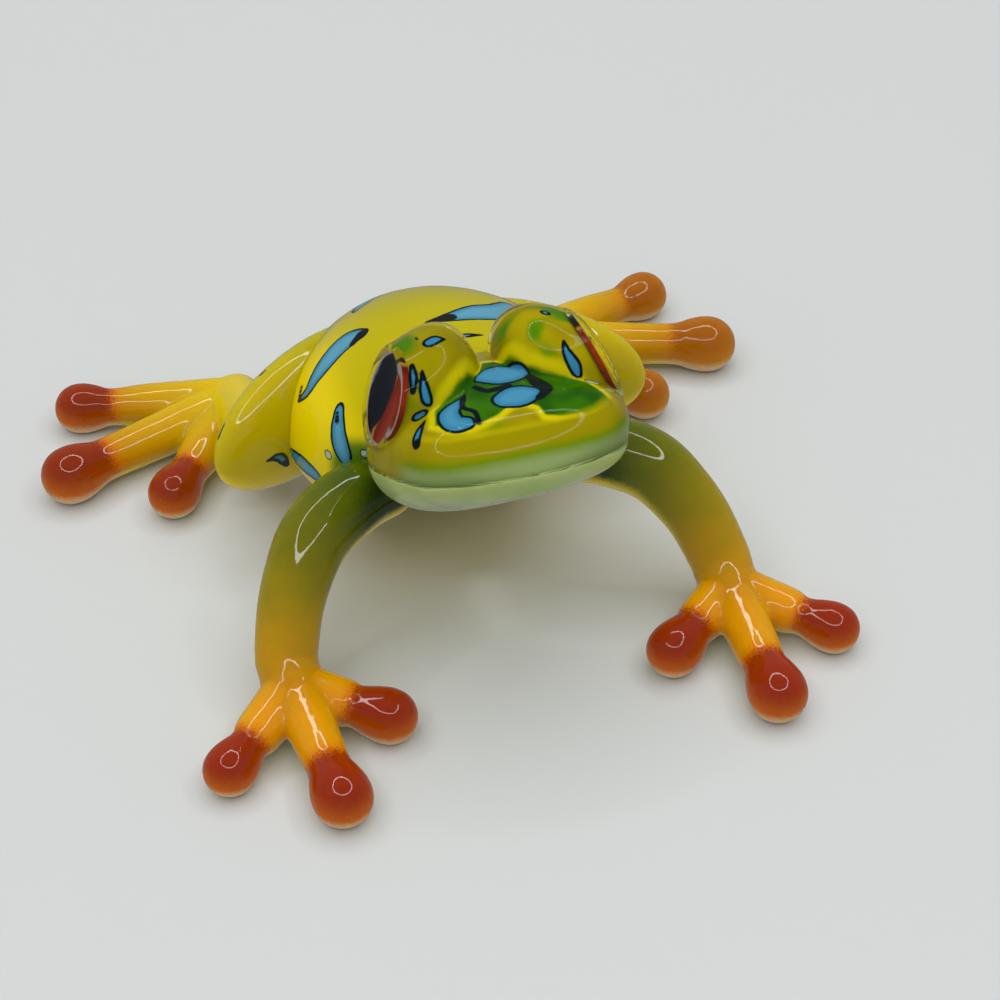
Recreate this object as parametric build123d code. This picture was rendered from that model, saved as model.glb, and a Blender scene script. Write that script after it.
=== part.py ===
from build123d import *
import math
import os

# A small tree frog ornament, cast in coloured and clear resin and glued up
# from separate castings. Millimetres. The frog faces -Y, its own left side is
# at +X, +Z is up, and the origin is under the middle of its footprint, on the
# surface it stands on. Its surfaces are skins of flat facets stretched over
# rings of points, and every ring comes from the named sizes below. Places
# named out, y and height are first taken from the middle of the torso, and
# write() then moves every piece to the origin.

# Body casting
torso_length = 32.5
torso_width = 29.4
torso_height = 24.2
torso_rear_y = 17.8
torso_front_y = torso_rear_y - torso_length
torso_mid_height = 13.4
torso_rise = 6.2
torso_lean = 14.0
torso_taper_share = 0.2
torso_squareness_share = 2.2
belly_height = 2.6
jacket_rim_height = 7.6
jacket_wall = 0.9
# One row per station, front to rear: place along the length, half width and
# half height as shares of the body's, and climb as a share of the rise.
torso_shares = (
    (0.00, 0.30, 0.36, 1.00),
    (0.11, 0.70, 0.76, 0.80),
    (0.26, 0.92, 0.96, 0.47),
    (0.44, 1.00, 1.01, 0.24),
    (0.63, 0.98, 0.96, 0.06),
    (0.79, 0.79, 0.80, -0.08),
    (0.92, 0.52, 0.53, -0.18),
    (1.00, 0.20, 0.22, -0.24),
)

# Head casting. Places named ahead or behind here and below are measured from
# the front end of the body, so that the head and forelegs follow it.
head_length = 21.8
head_width = 24.0
head_height = 15.8
snout_ahead = 15.1
head_mid_height = 24.2
head_rise = 3.6
brow_wall = 1.0
insert_least_share = 0.33
mouth_corner_ahead = 6.6
mouth_corner_height = 24.6
mouth_slope = 24.0
# One row per station, neck to snout: place along the length, half width and
# half height as shares, climb as a share of the rise, squareness of section.
head_shares = (
    (0.00, 0.52, 0.40, -0.22, 2.2),
    (0.18, 0.86, 0.74, -0.29, 2.3),
    (0.41, 1.00, 0.94, -0.125, 2.4),
    (0.62, 0.965, 0.84, 0.32, 2.6),
    (0.78, 0.87, 0.62, 0.84, 2.9),
    (0.89, 0.75, 0.45, 0.98, 2.6),
    (0.97, 0.46, 0.26, 0.98, 2.2),
    (1.00, 0.20, 0.14, 0.98, 2.0),
)

# Eyes: each is a painted disc, a pupil let into it and a clear lens, set in
# a round socket in the flat outer end of an eye turret of the head.
eye_out = 10.4
eye_ahead = 1.6
eye_height = 29.7
eye_turn = 7.0
eye_lift = 20.0
eye_radius = 4.4
eye_clearance = 0.1
iris_thickness = 0.5
pupil_depth = 0.25
pupil_width = 3.8
pupil_length = 7.6
pupil_back = 0.8
lens_edge = 0.55
lens_crown = 0.7
lens_crown_shares = (0.0, 0.35, 0.65, 0.88, 0.98)
turret_rim = 0.45
turret_radius = 5.45
turret_tip_radius = 0.3
crown_out = 0.9
crown_ahead = 0.2
crown_height = 29.4
# One row per station, from beside the crown to the socket: place along the
# turret, radius, and turn towards the eye's own axis, all as shares.
turret_shares = (
    (0.0, 0.36, 0.0),
    (0.06, 0.64, 0.0),
    (0.18, 0.86, 0.1),
    (0.38, 1.00, 0.3),
    (0.62, 1.02, 0.6),
    (0.84, 0.96, 0.9),
)

# Forelegs
shoulder_out = 8.9
shoulder_behind = 4.3
shoulder_height = 14.3
wrist_out = 21.9
wrist_ahead = 6.9
wrist_height = 5.6
arm_radius = 3.55
arm_bow_out = 2.4
arm_bow_back = 0.6
arm_bow_up = 3.1
# Place along shoulder to wrist, share of the bow, radius share.
arm_shares = (
    (0.00, 0.00, 0.92),
    (0.12, 0.44, 0.98),
    (0.28, 0.78, 1.00),
    (0.45, 0.96, 0.98),
    (0.62, 0.84, 0.93),
    (0.80, 0.55, 0.88),
    (1.00, 0.00, 0.84),
)
palm_ahead = 9.3
palm_height = 3.9
palm_radius = 3.1
front_toe_reach = 14.1
front_toe_radius = 2.35
front_pad_radius = 2.85
# Outer, middle and inner toe: bearing in degrees from straight ahead towards
# the outside, reach share, pad share.
front_toe_shares = ((48.4, 0.767, 0.88), (-2.7, 1.00, 1.00), (-55.5, 0.666, 0.94))

# Hind legs: the folded thigh is one lobe, the shank and foot another casting.
thigh_reach = 13.0
thigh_depth = 7.3
thigh_thickness = 3.8
thigh_out = 11.2
thigh_y = 7.5
thigh_height = 11.4
thigh_sweep = -30.5
thigh_droop = -1.0
thigh_shares = (
    (-0.95, 0.31), (-0.80, 0.60), (-0.55, 0.835), (-0.25, 0.97), (0.05, 1.00),
    (0.35, 0.94), (0.60, 0.80), (0.80, 0.60), (0.93, 0.37), (0.99, 0.14),
)
hip_peg_radius = 2.4
hip_peg_depth = 6.5
knee_out = 16.0
knee_y = 4.7
knee_height = 9.1
ankle_out = 15.9
ankle_y = 20.2
ankle_height = 3.5
knee_radius = 3.0
shank_radius = 3.3
ankle_radius = 2.9
hind_toe_reach = 20.0
hind_toe_radius = 2.4
hind_pad_radius = 3.0
# Rear, middle and front toe: bearing in degrees from straight outward
# towards the rear, reach share, pad share.
hind_toe_shares = ((18.0, 0.83, 0.88), (-17.0, 1.00, 1.00), (-50.0, 0.755, 0.88))

# Toe outline, root to tip. A row gives the place and the radius. The first
# rows are shares of the toe's reach and root radius, and the last rows are
# shares of the pad's radius, measured from the pad's middle.
toe_stem_shares = ((0.0, 1.10), (0.30, 1.02), (0.58, 0.95))
toe_pad_shares = (
    (-1.30, 0.74), (-0.70, 0.90), (-0.20, 1.0), (0.30, 0.955),
    (0.68, 0.735), (0.92, 0.40), (0.99, 0.14),
)
pad_flat = 0.25
# Heights of a knuckle's rings as shares of its radius, from below to above.
knob_height_shares = (-0.95, -0.8, -0.5, -0.1, 0.3, 0.65, 0.88, 0.97)

# Facets round each skin, and rings between two stations
body_facets = 24
head_facets = 24
turret_facets = 16
limb_facets = 14
toe_facets = 12
thigh_facets = 16
eye_facets = 22
ring_steps = 2
flatness = 1e-7
# Blocks for cutting are bigger than the whole frog.
block_size = 4 * (torso_length + head_length)


# Section, skin and path helpers
sideways = Vector(1, 0, 0)
upright = Vector(0, 0, 1)


def between(rows, steps):
    """A smooth curve through rows of numbers, with steps spans a row."""
    out = []
    for i in range(len(rows) - 1):
        p = rows[max(i - 1, 0)], rows[i], rows[i + 1], rows[min(i + 2, len(rows) - 1)]
        for k in range(steps):
            t = k / steps
            w = (
                (-t + 2 * t**2 - t**3) / 2,
                (2 - 5 * t**2 + 3 * t**3) / 2,
                (t + 4 * t**2 - 3 * t**3) / 2,
                (t**3 - t**2) / 2,
            )
            out.append(tuple(sum(a * q[j] for a, q in zip(w, p)) for j in range(len(rows[0]))))
    out.append(tuple(rows[-1]))
    return out


def ring(centre, across, up, half_width, half_height, facets, squareness=2.0, taper=0.0):
    """Points of one closed section, a rounded box where squareness is over 2."""
    points = []
    for k in range(facets):
        c = math.cos(2 * math.pi * (k + 0.5) / facets)
        s = math.sin(2 * math.pi * (k + 0.5) / facets)
        w = half_width * math.copysign(abs(c) ** (2 / squareness), c)
        h = half_height * math.copysign(abs(s) ** (2 / squareness), s)
        points.append(centre + across * w * (1 - taper * s) + up * h)
    return points


def flat(points):
    return Face(Wire.make_polygon(points, close=True))


def facet(a, b, c, d):
    """One flat four-sided facet where the corners allow it, or two triangles."""
    normal = (b - a).cross(c - a).normalized()
    if abs(normal.dot(d - a)) < flatness:
        return [flat([a, b, c, d])]
    return [flat([a, b, c]), flat([a, c, d])]


def skin(rings):
    """A closed solid of flat facets stretched from ring to ring."""
    faces = [flat(rings[0]), flat(rings[-1])]
    for lower, upper in zip(rings, rings[1:]):
        for k in range(len(lower)):
            j = (k + 1) % len(lower)
            faces += facet(lower[k], lower[j], upper[j], upper[k])
    return Solid(Shell(faces))


def tube(points, radii, facets):
    """A skin along a path, with each ring square to the path."""
    rings = []
    for i, point in enumerate(points):
        ahead = points[min(i + 1, len(points) - 1)]
        behind = points[max(i - 1, 0)]
        along = (ahead - behind).normalized()
        across = along.cross(upright).normalized()
        rings.append(ring(point, across, across.cross(along), radii[i], radii[i], facets))
    return skin(rings)


def above(height):
    """A block that holds everything over one level."""
    return Pos(0, 0, height + block_size / 2) * Box(block_size, block_size, block_size)


# Body casting: a painted core, let into a clear jacket that is open below
def torso_skin(inset):
    lean = math.radians(torso_lean)
    up = Vector(0, math.sin(-lean), math.cos(lean))
    rings = []
    for along, wide, tall, climb in between(torso_shares, ring_steps):
        y = torso_rear_y - inset - (torso_length - 2 * inset) * (1 - along)
        centre = Vector(0, y, torso_mid_height + torso_rise * climb)
        half_width = torso_width / 2 * wide - inset
        half_height = torso_height / 2 * tall - inset
        shape = body_facets, torso_squareness_share, torso_taper_share
        rings.append(ring(centre, sideways, up, half_width, half_height, *shape))
    return skin(rings) & above(belly_height)


# Head casting: clear upper head over a painted insert, and an opal lower jaw
def head_skin(inset):
    rings = []
    for along, wide, tall, climb, square in between(head_shares, ring_steps):
        y = torso_front_y - snout_ahead + inset + (head_length - 2 * inset) * (1 - along)
        centre = Vector(0, y, head_mid_height + head_rise * climb)
        half_width = head_width / 2 * wide - inset
        half_height = head_height / 2 * tall
        half_height = max(half_height - inset, half_height * insert_least_share)
        rings.append(ring(centre, sideways, upright, half_width, half_height, head_facets, square))
    return skin(rings)


def mouth_block():
    """Everything over the sloping plane that the mouth line lies in."""
    corner = (0, torso_front_y - mouth_corner_ahead, mouth_corner_height)
    place = Location(corner, (-mouth_slope, 0, 0))
    return place * above(0)


def eye_plane():
    """The socket's rim plane on the frog's left, with Z pointing out of the eye."""
    turn = math.radians(eye_turn)
    lift = math.radians(eye_lift)
    out = Vector(math.cos(lift) * math.cos(turn), math.cos(lift) * math.sin(turn), math.sin(lift))
    forward = Vector(math.sin(turn), -math.cos(turn), 0)
    centre = (eye_out, torso_front_y - eye_ahead, eye_height)
    return Plane(origin=centre, x_dir=forward, z_dir=out)


def eye_disc(radius, bottom, top):
    """A disc in the eye, from one depth to another along the eye's axis."""
    plane = eye_plane().offset(bottom)
    return Solid.extrude(
        flat(ring(plane.origin, plane.x_dir, plane.y_dir, radius, radius, eye_facets)),
        plane.z_dir * (top - bottom),
    )


def eye_turret(inset):
    plane = eye_plane().offset(-inset)
    crown = Vector(crown_out + inset, torso_front_y - crown_ahead, crown_height)
    rim = eye_radius + turret_rim - inset
    rings = []
    for along, girth, turn in between(turret_shares, ring_steps):
        centre = crown + (plane.origin - crown) * along
        out = (sideways * (1 - turn) + plane.z_dir * turn).normalized()
        up = (upright - out * out.Z).normalized()
        radius = max(turret_radius * girth - inset, turret_tip_radius)
        rings.append(ring(centre, up.cross(out), up, radius, radius, turret_facets))
    up = (upright - plane.z_dir * plane.z_dir.Z).normalized()
    rings.append(ring(plane.origin, up.cross(plane.z_dir), up, rim, rim, turret_facets))
    return skin(rings)


def full_head(inset):
    """The head casting with both turrets, drawn in by a wall."""
    turret = eye_turret(inset)
    return head_skin(inset) + turret + mirror(turret, Plane.YZ)


def iris_top():
    return -lens_edge


def iris_piece():
    disc = eye_disc(eye_radius - eye_clearance, iris_top() - iris_thickness, iris_top())
    return disc - pupil_piece()


def pupil_piece():
    plane = eye_plane().offset(iris_top() - pupil_depth)
    centre = plane.origin - plane.x_dir * pupil_back
    outline = ring(centre, plane.x_dir, plane.y_dir, pupil_width / 2, pupil_length / 2, eye_facets)
    return Solid.extrude(flat(outline), plane.z_dir * pupil_depth)


def lens_piece():
    """A clear lens with a straight edge and a crowned face."""
    plane = eye_plane()
    reach = eye_radius - eye_clearance
    back = plane.origin - plane.z_dir * lens_edge
    rings = [ring(back, plane.x_dir, plane.y_dir, reach, reach, eye_facets)]
    for share in lens_crown_shares:
        centre = plane.origin + plane.z_dir * lens_crown * share
        radius = reach * math.sqrt(1 - share**2)
        rings.append(ring(centre, plane.x_dir, plane.y_dir, radius, radius, eye_facets))
    return skin(rings)


# Limbs
def toe(root, bearing, reach, stem_radius, pad_radius):
    """One straight toe from its root to a round pad that rests on the floor."""
    turn = math.radians(bearing)
    side = Vector(math.cos(turn), math.sin(turn), 0)
    tip = Vector(root.X, root.Y, 0) + side * reach + Vector(0, 0, pad_radius)
    along = (tip - root).normalized()
    span = (tip - root).length
    across = along.cross(upright).normalized()
    rings = []
    for place, girth in toe_stem_shares:
        rings.append((root + along * span * place, stem_radius * girth))
    for place, girth in toe_pad_shares:
        rings.append((tip + along * pad_radius * place, pad_radius * girth))
    return skin([ring(c, across, across.cross(along), r, r, toe_facets) for c, r in rings])


def knob(centre, radius):
    """A rounded joint that the toes grow out of."""
    rings = []
    for share in knob_height_shares:
        girth = radius * math.sqrt(1 - share**2)
        middle = centre + upright * radius * share
        rings.append(ring(middle, sideways, Vector(0, 1, 0), girth, girth, limb_facets))
    return skin(rings)


def foreleg():
    shoulder = Vector(shoulder_out, torso_front_y + shoulder_behind, shoulder_height)
    wrist = Vector(wrist_out, torso_front_y - wrist_ahead, wrist_height)
    bow = Vector(arm_bow_out, arm_bow_back, arm_bow_up)
    points = []
    radii = []
    for along, out, girth in between(arm_shares, ring_steps):
        points.append(shoulder + (wrist - shoulder) * along + bow * out)
        radii.append(arm_radius * girth)
    palm = Vector(wrist_out, torso_front_y - palm_ahead, palm_height)
    points.append(palm)
    radii.append(palm_radius)
    leg = tube(points, radii, limb_facets) + knob(palm, palm_radius)
    for bearing, reach, pad in front_toe_shares:
        turn = bearing - 90
        pad_radius = front_pad_radius * pad
        leg += toe(palm, turn, front_toe_reach * reach, front_toe_radius, pad_radius)
    return leg & above(pad_flat)


def thigh_frame():
    sweep = math.radians(thigh_sweep)
    droop = math.radians(thigh_droop)
    outward = Vector(math.cos(sweep), math.sin(sweep), 0)
    along = outward * math.cos(droop) + upright * math.sin(droop)
    across = upright.cross(outward)
    return Vector(thigh_out, thigh_y, thigh_height), along, across, along.cross(across)


def thigh_lobe():
    centre, along, across, up = thigh_frame()
    rings = []
    for place, girth in between(thigh_shares, ring_steps):
        middle = centre + along * thigh_reach * place
        half_width = thigh_thickness * girth
        rings.append(ring(middle, across, up, half_width, thigh_depth * girth, thigh_facets))
    return skin(rings)


def hip_peg(body):
    """A peg on the thigh's root that goes into the body."""
    centre, along, across, up = thigh_frame()
    rings = []
    for middle in (centre - along * hip_peg_depth, centre + along * hip_peg_depth):
        rings.append(ring(middle, across, up, hip_peg_radius, hip_peg_radius, limb_facets))
    return skin(rings) & body


def hind_foot(thigh, body):
    """Shank, ankle and toes, seated on the thigh and on the flank."""
    knee = Vector(knee_out, knee_y, knee_height)
    ankle = Vector(ankle_out, ankle_y, ankle_height)
    radii = [knee_radius, shank_radius, ankle_radius]
    foot = tube([knee, (knee + ankle) / 2, ankle], radii, limb_facets)
    foot = foot + knob(ankle, ankle_radius)
    for bearing, reach, pad in hind_toe_shares:
        pad_radius = hind_pad_radius * pad
        foot += toe(ankle, bearing, hind_toe_reach * reach, hind_toe_radius, pad_radius)
    return (foot - thigh - body) & above(pad_flat)


def write(shape, name, seat):
    export_step(seat * shape, f"parts/{name}.step")


def main():
    os.makedirs("parts", exist_ok=True)

    body = torso_skin(0)
    body_core = torso_skin(jacket_wall)
    arm = foreleg()
    arm_right = mirror(arm, Plane.YZ)

    lobe = thigh_lobe()
    outer_lobe = (lobe - body).solids().sort_by(Axis.X)[-1]
    thigh = outer_lobe + hip_peg(body)
    thigh_right = mirror(thigh, Plane.YZ)
    foot = hind_foot(thigh, body)

    limbs = [arm, arm_right, thigh, thigh_right]
    core = body_core + (body - above(jacket_rim_height))
    jacket = body - core
    for limb in limbs:
        core = core - limb
        jacket = jacket - limb

    skull = full_head(0) - body - arm - arm_right
    jaw = head_skin(0) - body - arm - arm_right - mouth_block()
    upper = skull - jaw
    socket = eye_disc(eye_radius, iris_top() - iris_thickness, lens_crown)
    sockets = [socket, mirror(socket, Plane.YZ)]
    insert = (full_head(brow_wall) & mouth_block()) - body
    for hole in sockets:
        insert = insert - hole
        upper = upper - hole
    upper = upper - insert

    # The footprint runs from the front toes to the rear ones.
    front = arm.bounding_box().min.Y
    rear = foot.bounding_box().max.Y
    seat = Pos(0, -(front + rear) / 2, -pad_flat)
    print(f"origin is {(front + rear) / 2:.3f} mm along Y from the torso's zero")

    write(core, "torso_core", seat)
    write(jacket, "torso_jacket", seat)
    write(insert, "head_insert", seat)
    write(upper, "upper_head", seat)
    write(jaw, "lower_jaw", seat)
    for name, shape in (
        ("iris", iris_piece()),
        ("pupil", pupil_piece()),
        ("eye_lens", lens_piece()),
        ("foreleg", arm),
        ("thigh", thigh),
        ("hind_foot", foot),
    ):
        write(shape, f"{name}_left", seat)
        write(mirror(shape, Plane.YZ), f"{name}_right", seat)


main()
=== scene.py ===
"""The looks of a small resin tree frog ornament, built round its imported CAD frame.

Every table of sizes is in millimetres and starts from the middle of the torso, as
the CAD's own sizes do. ``to_frame`` turns such points into the frame's metres.
"""

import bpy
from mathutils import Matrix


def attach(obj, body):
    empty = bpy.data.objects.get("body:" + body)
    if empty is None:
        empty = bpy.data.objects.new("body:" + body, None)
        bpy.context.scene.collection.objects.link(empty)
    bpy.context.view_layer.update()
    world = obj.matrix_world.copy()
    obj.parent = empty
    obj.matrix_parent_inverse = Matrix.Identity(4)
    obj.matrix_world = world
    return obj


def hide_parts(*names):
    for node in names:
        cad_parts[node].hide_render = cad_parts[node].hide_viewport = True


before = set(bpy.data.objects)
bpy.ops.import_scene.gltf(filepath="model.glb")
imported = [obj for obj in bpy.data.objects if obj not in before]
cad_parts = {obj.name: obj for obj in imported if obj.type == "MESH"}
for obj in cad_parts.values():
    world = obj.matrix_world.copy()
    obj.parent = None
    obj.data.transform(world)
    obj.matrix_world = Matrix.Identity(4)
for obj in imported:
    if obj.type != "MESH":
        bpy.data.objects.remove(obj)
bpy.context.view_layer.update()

import logging
import math
from dataclasses import dataclass
from enum import Enum

import bmesh
import bpy
import numpy as np
from mathutils import Matrix, Vector

LOG = logging.getLogger("frog")
MM = 0.001
SEAT = np.array([0.0, 6.514, -0.25])
SIDEWAYS, BACKWARDS, UPRIGHT = np.eye(3)
BODY = "root"
SHARP = math.radians(50.0)
NEAR_POLE = 1.45
ON_PLANE = 1e-8
SLIVER = 2e-6
TINY = 1e-9
UNMARKED = 9.0

Colour = tuple[float, float, float]
Points = np.ndarray
Mesh = bpy.types.Mesh
Material = bpy.types.Material
Socket = bpy.types.NodeSocket


class Side(Enum):
    """The frog's own left side is at +X and its right side at -X."""

    LEFT = 1
    RIGHT = -1

    @property
    def word(self) -> str:
        """The side's name in lower case, as the CAD nodes use it."""
        return self.name.lower()


# Points, curves and skins


def to_frame(points: Points) -> Points:
    """Turns millimetres from the middle of the torso into the frame's metres."""
    return (np.asarray(points, float) + SEAT) * MM


def unit(vector: Points) -> Points:
    """The vector scaled to a length of one."""
    return vector / np.linalg.norm(vector)


def folded(points: Points) -> Points:
    """Points with those of the right side laid over onto the left."""
    return np.column_stack([np.abs(points[:, 0]), points[:, 1:]])


def ease(value: Points, low: float, high: float) -> Points:
    """Goes smoothly from 0 at low to 1 at high."""
    t = np.clip((np.asarray(value, float) - low) / (high - low), 0.0, 1.0)
    return t * t * (3.0 - 2.0 * t)


def between(rows: tuple, steps: int) -> Points:
    """A smooth curve through rows of numbers.

    Args:
        rows: Rows of equal length that the curve passes through.
        steps: Spans from one row to the next.

    Returns:
        The curve's rows.
    """
    rows = np.array(rows, float)
    last = len(rows) - 1
    out = []
    for i in range(last):
        near = rows[[max(i - 1, 0), i, i + 1, min(i + 2, last)]]
        for k in range(steps):
            t = k / steps
            weights = np.array([
                (-t + 2 * t**2 - t**3) / 2,
                (2 - 5 * t**2 + 3 * t**3) / 2,
                (t + 4 * t**2 - 3 * t**3) / 2,
                (t**3 - t**2) / 2,
            ])
            out.append(weights @ near)
    return np.array([*out, rows[-1]])


def ring(
    centre: Points,
    across: Points,
    up: Points,
    half_width: float,
    half_height: float,
    count: int,
    squareness: float = 2.0,
    taper: float = 0.0,
) -> Points:
    """Points of one closed section.

    Args:
        centre: The section's middle.
        across: Direction of the width.
        up: Direction of the height.
        half_width: Half of the width.
        half_height: Half of the height.
        count: Points round the section.
        squareness: 2 for an ellipse, more for a rounded box.
        taper: How much narrower the top is than the middle, as a share.

    Returns:
        The points, one in each row.
    """
    turn = 2 * math.pi * (np.arange(count) + 0.5) / count
    c, s = np.cos(turn), np.sin(turn)
    w = half_width * np.sign(c) * np.abs(c) ** (2 / squareness) * (1 - taper * s)
    h = half_height * np.sign(s) * np.abs(s) ** (2 / squareness)
    return np.asarray(centre) + np.outer(w, across) + np.outer(h, up)


@dataclass
class Skin:
    """A closed surface in millimetres: its points and its faces."""

    points: Points
    faces: list

    @classmethod
    def over(cls, rings: list) -> "Skin":
        """Stretches a skin over rings and closes both ends to a point.

        Args:
            rings: Rings of equal count, one behind the other.

        Returns:
            The closed skin.
        """
        count, tail = len(rings[0]), (len(rings) - 1) * len(rings[0])
        points = np.concatenate([*rings, [rings[0].mean(0), rings[-1].mean(0)]])
        first, last = len(points) - 2, len(points) - 1
        faces = []
        for a in range(0, tail, count):
            for k in range(count):
                j = (k + 1) % count
                faces.append((a + k, a + j, a + count + j, a + count + k))
        for k in range(count):
            j = (k + 1) % count
            faces += [(first, j, k), (last, tail + k, tail + j)]
        return cls(points, faces)

    @classmethod
    def joined(cls, skins: list) -> "Skin":
        """Puts several skins into one list of points and faces.

        Args:
            skins: The skins.

        Returns:
            One skin that holds them all.
        """
        faces, start = [], 0
        for part in skins:
            faces += [tuple(i + start for i in face) for face in part.faces]
            start += len(part.points)
        return cls(np.concatenate([part.points for part in skins]), faces)

    def mirrored(self, side: Side) -> "Skin":
        """The skin on the frog's other side, or the skin itself for the left."""
        other = Skin(self.points * [-1, 1, 1], [face[::-1] for face in self.faces])
        return self if side is Side.LEFT else other


def tube(path: Points, count: int) -> Skin:
    """A round skin along a path, with each ring square to the path.

    Args:
        path: The path's points, each with a radius in its last column.
        count: Points round each ring.

    Returns:
        The closed skin.
    """
    points, radii = path[:, :3], path[:, 3]
    rings = []
    for i, point in enumerate(points):
        along = unit(points[min(i + 1, len(points) - 1)] - points[max(i - 1, 0)])
        across = unit(np.cross(along, UPRIGHT))
        rings.append(ring(point, across, np.cross(across, along), radii[i], radii[i], count))
    return Skin.over(rings)


def ball(centre: tuple, radius: float, count: int = 32) -> Skin:
    """A round skin of rings stacked from below to above.

    Args:
        centre: The ball's middle.
        radius: Its radius.
        count: Points round each ring.

    Returns:
        The closed skin.
    """
    rings = []
    for turn in np.linspace(-NEAR_POLE, NEAR_POLE, count // 2):
        girth = radius * math.cos(turn)
        middle = np.asarray(centre) + UPRIGHT * radius * math.sin(turn)
        rings.append(ring(middle, SIDEWAYS, BACKWARDS, girth, girth, count))
    return Skin.over(rings)


# Meshes and objects


def put(name: str, data: bpy.types.ID) -> bpy.types.Object:
    """Makes an object and links it into the scene.

    Args:
        name: The object's name.
        data: Its mesh, lamp or camera.

    Returns:
        The object.
    """
    made = bpy.data.objects.new(name, data)
    bpy.context.scene.collection.objects.link(made)
    return made


def scrap(holder: bpy.types.Object) -> None:
    """Takes an object away together with its mesh.

    Args:
        holder: The object.
    """
    mesh = holder.data
    bpy.data.objects.remove(holder)
    bpy.data.meshes.remove(mesh)


def shaded(mesh: Mesh) -> Mesh:
    """Shades a mesh smooth, but keeps its corners crisp.

    Args:
        mesh: The mesh, changed in place.

    Returns:
        The same mesh.
    """
    mesh.shade_smooth()
    mesh.set_sharp_from_angle(angle=SHARP)
    return mesh


def reworked(mesh: Mesh, work: bmesh.types.BMesh) -> Mesh:
    """Turns the faces outwards and writes the work back into its mesh.

    Args:
        mesh: The mesh to write to.
        work: The changed copy, which is freed.

    Returns:
        The mesh, shaded.
    """
    bmesh.ops.recalc_face_normals(work, faces=work.faces)
    work.to_mesh(mesh)
    work.free()
    return shaded(mesh)


def mesh_of(name: str, skin: Skin) -> Mesh:
    """A Blender mesh in the frame's metres.

    Args:
        name: The mesh's name.
        skin: The skin in millimetres.

    Returns:
        The mesh, with its faces turned outwards and shaded smooth.
    """
    mesh = bpy.data.meshes.new(name)
    mesh.from_pydata(to_frame(skin.points).tolist(), [], skin.faces)
    work = bmesh.new()
    work.from_mesh(mesh)
    return reworked(mesh, work)


def settled(name: str, holder: bpy.types.Object) -> Mesh:
    """Applies an object's modifiers, and takes the object away.

    Args:
        name: Name of the mesh to make.
        holder: The object with its modifiers.

    Returns:
        The finished mesh.
    """
    bpy.context.view_layer.update()
    graph = bpy.context.evaluated_depsgraph_get()
    mesh = bpy.data.meshes.new_from_object(holder.evaluated_get(graph))
    scrap(holder)
    mesh.name = name
    return shaded(mesh)


def moulded(name: str, skins: list, side: Side, cell: float, rounds: int) -> Mesh:
    """Melts crossing skins into one casting with soft inner corners.

    Args:
        name: Name of the mesh to make.
        skins: Closed skins that cross one another, as for the left side.
        side: The side to make them for.
        cell: Side of the cells that the surface is rebuilt from, in millimetres.
        rounds: How often the surface is smoothed.

    Returns:
        The finished mesh.
    """
    holder = put(name, mesh_of(name, Skin.joined(skins).mirrored(side)))
    melt = holder.modifiers.new("melt", "REMESH")
    melt.mode = "VOXEL"
    melt.voxel_size = cell * MM
    smooth = holder.modifiers.new("smooth", "SMOOTH")
    smooth.factor = 0.5
    smooth.iterations = rounds
    return settled(name, holder)


def cut(mesh: Mesh, point: Points, normal: Points) -> Mesh:
    """Keeps the part of a mesh behind a plane, and closes it there.

    Args:
        mesh: The mesh to cut, changed in place.
        point: A point on the plane, in millimetres.
        normal: The plane's normal, towards what is taken away.

    Returns:
        The same mesh.
    """
    work = bmesh.new()
    work.from_mesh(mesh)
    bmesh.ops.bisect_plane(
        work,
        geom=work.verts[:] + work.edges[:] + work.faces[:],
        dist=ON_PLANE,
        plane_co=Vector(to_frame(point)),
        plane_no=Vector(normal),
        clear_outer=True,
    )
    bmesh.ops.contextual_create(work, geom=[edge for edge in work.edges if edge.is_boundary])
    bmesh.ops.dissolve_degenerate(work, dist=SLIVER, edges=work.edges)
    bmesh.ops.triangulate(work, faces=[f for f in work.faces if len(f.verts) > 4])
    return reworked(mesh, work)


def bored(mesh: Mesh, tool: Skin) -> Mesh:
    """Takes one closed skin away from a mesh.

    Args:
        mesh: The mesh to bore.
        tool: The skin to take away.

    Returns:
        A new mesh under the old one's name.
    """
    holder, drill = put("blank", mesh), put("drill", mesh_of("drill", tool))
    step = holder.modifiers.new("bore", "BOOLEAN")
    step.operation = "DIFFERENCE"
    step.solver = "EXACT"
    step.object = drill
    new = settled(mesh.name, holder)
    scrap(drill)
    return new


def points_of(mesh: Mesh) -> Points:
    """The mesh's points in millimetres from the middle of the torso."""
    return np.array([point.co[:] for point in mesh.vertices]) / MM - SEAT


def note(mesh: Mesh, name: str, values: Points) -> None:
    """Stores a number for each point, which the materials read by name."""
    layer = mesh.attributes.new(name, "FLOAT", "POINT")
    layer.data.foreach_set("value", np.asarray(values, np.float32))


def place(name: str, mesh: Mesh, material: Material, slot: str, *nodes: str) -> None:
    """Puts a dressed piece into the scene in place of CAD nodes.

    Args:
        name: The piece's name.
        mesh: Its mesh.
        material: Its finish.
        slot: Not used.
        nodes: The CAD nodes that it stands for.
    """
    piece = put(name, mesh)
    mesh.materials.clear()
    mesh.materials.append(material)
    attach(piece, BODY)
    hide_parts(*nodes)
    LOG.info("%s: %d points, in place of %s", name, len(mesh.vertices), ", ".join(nodes))


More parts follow.
